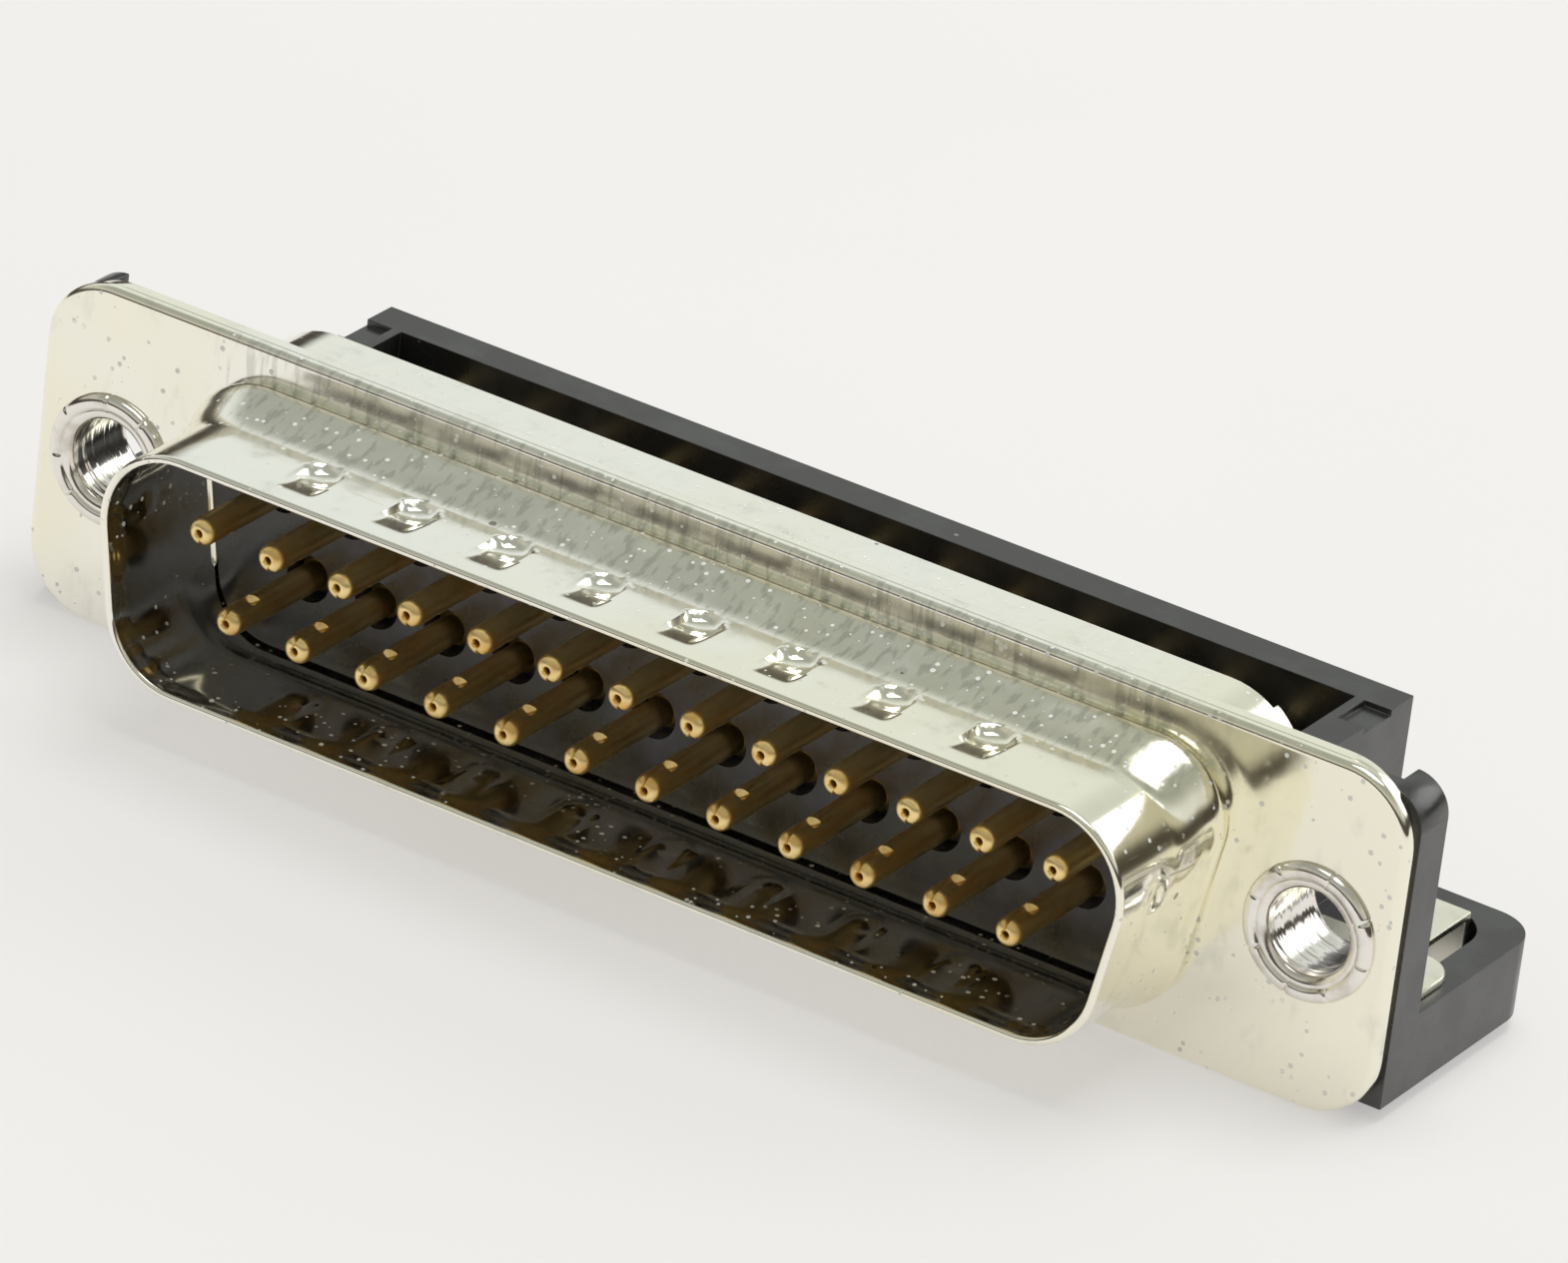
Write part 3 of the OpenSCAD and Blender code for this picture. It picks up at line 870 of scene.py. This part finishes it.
@dataclass(frozen=True)
class Eyelets:
    """Two rolled eyelets, split by small cracks round their rims."""

    hole_x: float = FrontShell.hole_x
    back: float = 2.95
    bore_r: float = 1.5
    tube_r: float = 1.82
    rim_r: float = 2.4
    rim_h: float = 0.3
    steps: int = 288
    crack_w: float = 1.5
    crack_step: float = 45.0
    crack_in: float = 0.04
    crack_down: float = 0.06
    flank_r: float = 2.2
    face_share: float = 0.3

    def profile(self) -> list[tuple[float, float, float]]:
        """Radius, Y and share of crack, from the bore out over the front rim and round the back."""
        mouth = [(self.bore_r, 1.4, 0), (self.bore_r, 0.3, 0), (self.bore_r, 0.05, 0), (1.515, -0.03, 0),
                 (1.56, -0.10, 0), (1.64, -0.16, 0), (1.74, -0.20, 0), (1.83, -0.215, 0)]
        groove = [(1.86, -0.19, 0), (1.885, -0.20, 0.3), (1.92, -0.25, 0.7), (1.99, -0.285, 1)]
        rim = [(2.08, -self.rim_h, 1), (2.18, -0.293, 1), (2.28, -0.255, 1), (2.35, -0.19, 1),
               (2.39, -0.11, 0.8), (self.rim_r, -0.04, 0.4), (2.385, -0.005, 0)]
        front = mouth + groove + rim
        behind = [(r, self.back - y, crack) for r, y, crack in reversed(front)]
        return [*front, (self.tube_r, 0.0, 0), (self.tube_r, self.back, 0), *behind]

    def crack(self, angle: float, turned: float) -> float:
        """How open the rim is at an angle, from 0 between two cracks to 1 in a crack.

        Args:
            angle: Angle round the eyelet in degrees.
            turned: Turn of the cracks in degrees.

        Returns:
            The share.
        """
        half = self.crack_step / 2
        wander = 3 * math.sin(math.radians(5 * angle))
        off = abs((angle - turned + wander + half) % self.crack_step - half)
        return max(0.0, 1 - off / self.crack_w)

    def rings(self, x: float, turned: float) -> list[list[Point]]:
        """Rings round one eyelet.

        Args:
            x: Place along the connector.
            turned: Turn of its cracks in degrees.

        Returns:
            The rings, the last one on the first.
        """
        rings = []
        for r, y, share in self.profile():
            ring = []
            inwards = self.crack_in * (1 if r > self.flank_r else self.face_share)
            down = self.crack_down if y < self.back / 2 else -self.crack_down
            for i in range(self.steps):
                angle = 360 * i / self.steps
                gap = share * self.crack(angle, turned)
                a = math.radians(angle)
                radius = r - inwards * gap
                ring.append((x + radius * math.cos(a), y + down * gap, radius * math.sin(a)))
            rings.append(ring)
        rings.append(rings[0])
        return rings

    def make(self, finishes: Finishes) -> None:
        """Builds both eyelets in place of their solids.

        Args:
            finishes: The connector's materials.
        """
        for side, name, turned in ((-1, "eyelet_left", 8.0), (1, "eyelet_right", 31.0)):
            piece = skin_rings(name + "_rolled", self.rings(side * self.hole_x, turned))
            smooth(piece, 50)
            finishes.dress(piece, Slot.EYELET)
            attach(piece, "root")
            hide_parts(name)
            LOG.info("%s: %d faces", piece.name, len(piece.data.polygons))


@dataclass(frozen=True)
class Contacts:
    """Rolled pins with an open seam, a notch and a rounded tip, and bent square tails."""

    top_count: int = 13
    pitch: float = 2.77
    row_gap: float = 2.84
    steps: int = 48
    # Pin and its rounded nose
    reach: float = 4.8
    radius: float = 0.5
    nose_r: float = 0.32
    nose_len: float = 0.36
    # Seam and notch
    seam_depth: float = 0.16
    seam_degrees: float = 12.0
    seam_top: float = -78.0
    seam_low: float = 96.0
    notch_back: float = 1.35
    notch_half: float = 0.26
    notch_depth: float = 0.22
    notch_degrees: float = 26.0
    # Collar and barrel
    collar_front: float = 0.45
    collar_back: float = 0.92
    collar_r: float = 0.62
    barrel_front: float = 1.85
    barrel_r: float = 0.6
    # Tail
    tail_half: float = 0.3
    tail_chamfer: float = 0.05
    tail_start: float = 4.0
    tail_rows: tuple[float, float] = (6.75, 9.59)
    tail_point: float = 0.12
    tail_point_share: float = 0.72
    bend_r: float = 0.6
    bend_steps: int = 8
    tip_z: float = -8.7

    def profile(self) -> list[tuple[float, float]]:
        """Radius and Y, from the bottom of the tip's opening over the tip and back to the tail."""
        tip = -self.reach
        notch = tip + self.notch_back
        front, back = self.collar_front, self.collar_back
        opening = [(0.0, tip + 0.9), (0.10, tip + 0.9), (0.105, tip + 0.3),
                   (0.12, tip + 0.08), (0.15, tip + 0.02)]
        turns = [math.radians(degrees) for degrees in range(0, 91, 10)]
        nose = [(self.radius - self.nose_r * (1 - math.sin(a)), tip + self.nose_len * (1 - math.cos(a)))
                for a in turns]
        shaft = [(self.radius, tip + 0.7),
                 *((self.radius, notch + self.notch_half * (i / 5 - 1)) for i in range(11)),
                 (self.radius, notch + 0.6), (self.radius, front)]
        collar = [(self.collar_r - 0.06, front + 0.05), (self.collar_r, front + 0.11),
                  (self.collar_r, back - 0.07), (self.radius, back)]
        barrel = [(self.radius, self.barrel_front), (self.barrel_r, self.barrel_front + 0.1),
                  (self.barrel_r, self.tail_start), (0.0, self.tail_start)]
        return opening + nose + shaft + collar + barrel

    def cut(self, r: float, y: float, off: float) -> float:
        """How far the seam and the notch cut into the pin.

        Args:
            r: Radius of the uncut ring.
            y: Its place.
            off: Angle away from the seam in degrees.

        Returns:
            The depth of the cut.
        """
        notch = self.notch_back - self.reach
        depth = 0.0
        if r > 0.12 and y < notch:
            depth = min(self.seam_depth, r - 0.11) * max(0.0, 1 - off / self.seam_degrees)
        near = 1 - abs(y - notch) / self.notch_half
        if near > 0 and r > 0.4:
            across = max(0.0, min(1.0, 1.7 - off / self.notch_degrees))
            depth = max(depth, self.notch_depth * min(1.0, 2 * near) * across)
        return depth

    def pin_rings(self, seam: float) -> list[list[Point]]:
        """Rings from the bottom of the tip's opening, over the tip and back to the tail.

        Args:
            seam: Angle of the open seam in degrees.

        Returns:
            The rings, with a pole at each end.
        """
        rings = []
        for r, y in self.profile():
            ring = []
            for i in range(self.steps):
                angle = 360 * i / self.steps
                radius = r - self.cut(r, y, abs((angle - seam + 180) % 360 - 180))
                a = math.radians(angle)
                ring.append((radius * math.cos(a), y, radius * math.sin(a)))
            rings.append(ring)
        return rings

    def tail_rings(self, z: float, row_y: float) -> list[list[Point]]:
        """Rings of the square tail, back, round its bend and down.

        Args:
            z: Height of the pin's axis.
            row_y: Place of the tail's row.

        Returns:
            The rings, with a pole at each end.
        """
        def section(y: float, down: float, turn: float, share: float = 1.0) -> list[Point]:
            """One chamfered square across the tail."""
            h, c = self.tail_half * share, (self.tail_half - self.tail_chamfer) * share
            square = [(h, c), (c, h), (-c, h), (-h, c), (-h, -c), (-c, -h), (c, -h), (h, -c)]
            return [(u, y + v * math.sin(turn), down + v * math.cos(turn)) for u, v in square]

        start = self.tail_start - 0.4
        bend_y = row_y - self.bend_r
        end = self.tip_z - z
        rings = [section(start, 0, 0, 0.0), section(start, 0, 0)]
        for i in range(self.bend_steps + 1):
            turn = math.radians(90 * i / self.bend_steps)
            rings.append(section(bend_y + self.bend_r * math.sin(turn),
                                 -self.bend_r * (1 - math.cos(turn)), turn))
        quarter = math.pi / 2
        rings += [section(row_y, end + self.tail_point, quarter),
                  section(row_y, end, quarter, self.tail_point_share), section(row_y, end, quarter, 0.0)]
        return rings

    def model(self, name: str, top: bool) -> bpy.types.Object:
        """Models one contact of a row on its own axis.

        Args:
            name: Name of the piece.
            top: Whether it belongs to the upper row.

        Returns:
            The contact.
        """
        z = self.row_gap / 2 * (1 if top else -1)
        pin = skin_rings(name, self.pin_rings(self.seam_top if top else self.seam_low))
        tail = skin_rings(name + "_tail", self.tail_rings(z, self.tail_rows[1 if top else 0]))
        clear_selection()
        tail.select_set(True)
        pin.select_set(True)
        bpy.context.view_layer.objects.active = pin
        bpy.ops.object.join()
        smooth(pin, 38)
        return pin

    def make(self, finishes: Finishes) -> None:
        """Builds every contact in place of its solid.

        Args:
            finishes: The connector's materials.
        """
        half = (self.top_count - 1) * self.pitch / 2
        for top, first, count in ((True, 1, self.top_count), (False, self.top_count + 1, self.top_count - 1)):
            model = self.model("upper_contact" if top else "lower_contact", top)
            finishes.dress(model, Slot.GOLD)
            for i in range(count):
                node = f"contact_{first + i:02d}"
                piece = bpy.data.objects.new(node + "_rolled", model.data.copy())
                bpy.context.scene.collection.objects.link(piece)
                x = i * self.pitch - half + (0 if top else self.pitch / 2)
                z = self.row_gap / 2 * (1 if top else -1)
                piece.data.transform(Matrix.Translation(Vector((x, 0, z)) * MM))
                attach(piece, "root")
                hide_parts(node)
            LOG.info("%s: %d copies of %d faces", model.name, count, len(model.data.polygons))
            bpy.data.objects.remove(model)


@dataclass
class Mouldings:
    """Moulded and stamped pieces whose sharp edges are eased."""

    frame: dict
    eased: dict[str, tuple[Slot, float]] = field(default_factory=lambda: {
        "rear_shell": (Slot.SHELL, 0.12),
        "front_insulator": (Slot.INSULATOR, 0.05),
        "rear_insulator": (Slot.INSULATOR, 0.06),
        "bracket": (Slot.BRACKET, 0.09),
        "ground_strap_left": (Slot.STRAP, 0.07),
        "ground_strap_right": (Slot.STRAP, 0.07),
    })

    def make(self, finishes: Finishes) -> None:
        """Builds each piece in place of its solid.

        Args:
            finishes: The connector's materials.
        """
        for node, (slot, width) in self.eased.items():
            piece = bevelled_copy(self.frame, node, node + "_eased", width)
            finishes.dress(piece, slot)
            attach(piece, "root")
            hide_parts(node)
            LOG.info("%s: %d faces", piece.name, len(piece.data.polygons))


# ---------------------------------------------------------------- studio


@dataclass(frozen=True)
class View:
    """The camera's place, in millimetres and degrees."""

    azimuth: float = 29.806
    elevation: float = 26.258
    roll: float = 7.015
    distance: float = 391.506
    shift_right: float = 2.954
    shift_up: float = 1.915
    lens: float = 275.54
    sensor: float = 36.0

    def make(self) -> None:
        """Adds the camera and makes it the scene's own."""
        az, el, roll = (math.radians(a) for a in (self.azimuth, self.elevation, self.roll))
        back = Vector((math.sin(az) * math.cos(el), -math.cos(az) * math.cos(el), math.sin(el)))
        right = Vector((math.cos(az), math.sin(az), 0))
        up = back.cross(right)
        turned_right = math.cos(roll) * right + math.sin(roll) * up
        turned_up = math.cos(roll) * up - math.sin(roll) * right
        place = back * self.distance + turned_right * self.shift_right + turned_up * self.shift_up
        data = bpy.data.cameras.new("camera")
        data.lens, data.sensor_width, data.sensor_fit = self.lens, self.sensor, "HORIZONTAL"
        data.clip_start, data.clip_end = 0.01, 10.0
        cam = bpy.data.objects.new("camera", data)
        bpy.context.scene.collection.objects.link(cam)
        turn = Matrix((turned_right, turned_up, back)).transposed()
        cam.matrix_world = Matrix.Translation(place * MM) @ turn.to_4x4()
        bpy.context.scene.camera = cam


@dataclass(frozen=True)
class Lamp:
    """A square soft lamp that points at the connector: place and size in metres, power in watts."""

    name: str
    place: Point
    size: float
    energy: float

    def make(self) -> None:
        """Adds the lamp."""
        data = bpy.data.lights.new(self.name, "AREA")
        data.energy, data.size = self.energy, self.size
        lamp = bpy.data.objects.new(self.name, data)
        bpy.context.scene.collection.objects.link(lamp)
        spot = Vector(self.place)
        lamp.matrix_world = Matrix.Translation(spot) @ spot.to_track_quat("Z", "Y").to_matrix().to_4x4()


@dataclass(frozen=True)
class Studio:
    """Pale table, soft lamps and a grey-green room behind the table."""

    floor_z: float = -6.2
    floor_size: float = 3.0
    floor_color: Point = (0.955, 0.935, 0.925)
    floor_shade: float = 0.985
    floor_glow: float = 0.45
    horizon: Point = (0.07, 0.06, 0.05)
    room: Point = (0.87, 0.905, 0.87)
    front: Point = (0.62, 0.60, 0.53)
    overhead: Point = (0.40, 0.42, 0.37)
    strength: float = 0.92
    lamps: tuple[Lamp, ...] = (
        Lamp("key", (0.04, 0.10, 0.70), 0.42, 2.2),
        Lamp("side", (0.39, 0.70, 0.40), 0.48, 1.1),
    )

    def make(self) -> None:
        """Builds the table, the room's light and the lamps."""
        self.table()
        self.light()
        for lamp in self.lamps:
            lamp.make()

    def table(self) -> None:
        """A plain pale table top, which glows a little where it is seen or mirrored."""
        clear_selection()
        bpy.ops.mesh.primitive_plane_add(size=self.floor_size, location=(0, 0, self.floor_z * MM))
        table = bpy.context.object
        table.name = "table_top"
        n = Nodes("table_white")
        shaded = tuple(self.floor_shade * c for c in self.floor_color)
        base = n.mix(n.ramp(n.noise(0.02, 4.0), 0.35, 0.7), self.floor_color, shaded)
        table.data.materials.append(n.surface(Base_Color=base, Roughness=0.9, Specular_IOR_Level=0.1))
        path = n.tree.nodes.new("ShaderNodeLightPath")
        seen = n.math("MAXIMUM", path.outputs["Is Camera Ray"], path.outputs["Is Glossy Ray"])
        glow = n.tree.nodes.new("ShaderNodeEmission")
        n.link(base, glow.inputs["Color"])
        blend = n.tree.nodes.new("ShaderNodeMixShader")
        n.link(n.math("MULTIPLY", seen, self.floor_glow), blend.inputs["Fac"])
        n.link(n.shader.outputs["BSDF"], blend.inputs[1])
        n.link(glow.outputs["Emission"], blend.inputs[2])
        n.link(blend.outputs["Shader"], n.tree.nodes["Material Output"].inputs["Surface"])

    def light(self) -> None:
        """The room: white to the camera, and shaded by height and side for everything else."""
        world = bpy.data.worlds.new("room")
        bpy.context.scene.world = world
        world.use_nodes = True
        room = Graph(world.node_tree, "Generated")
        background = room.tree.nodes["Background"]
        around = room.mix(room.ramp(room.axis(1), -0.15, 0.35), self.front, self.room)
        low = room.mix(room.ramp(room.axis(2), 0.20, 0.40), self.horizon, around)
        sky = room.mix(room.ramp(room.axis(2), 0.5, 0.8), low, self.overhead)
        path = room.tree.nodes.new("ShaderNodeLightPath")
        seen = room.mix(path.outputs["Is Camera Ray"], sky, (1.0 / self.strength,) * 3)
        room.link(seen, background.inputs["Color"])
        background.inputs["Strength"].default_value = self.strength


def main() -> None:
    """Builds the connector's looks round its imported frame."""
    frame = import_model()
    bpy.context.scene.view_settings.view_transform = "Standard"
    clear_selection()
    View().make()
    Studio().make()
    finishes = Finishes().make()
    for part in frame["record"]["subparts"]:
        finishes.dress(frame["nodes"][part["node"]], Slot(part["material_slot"]))
    FrontShell().make(finishes)
    Eyelets().make(finishes)
    Contacts().make(finishes)
    Mouldings(frame).make(finishes)


if __name__ == "__main__":
    logging.basicConfig(level=logging.INFO)
    main()
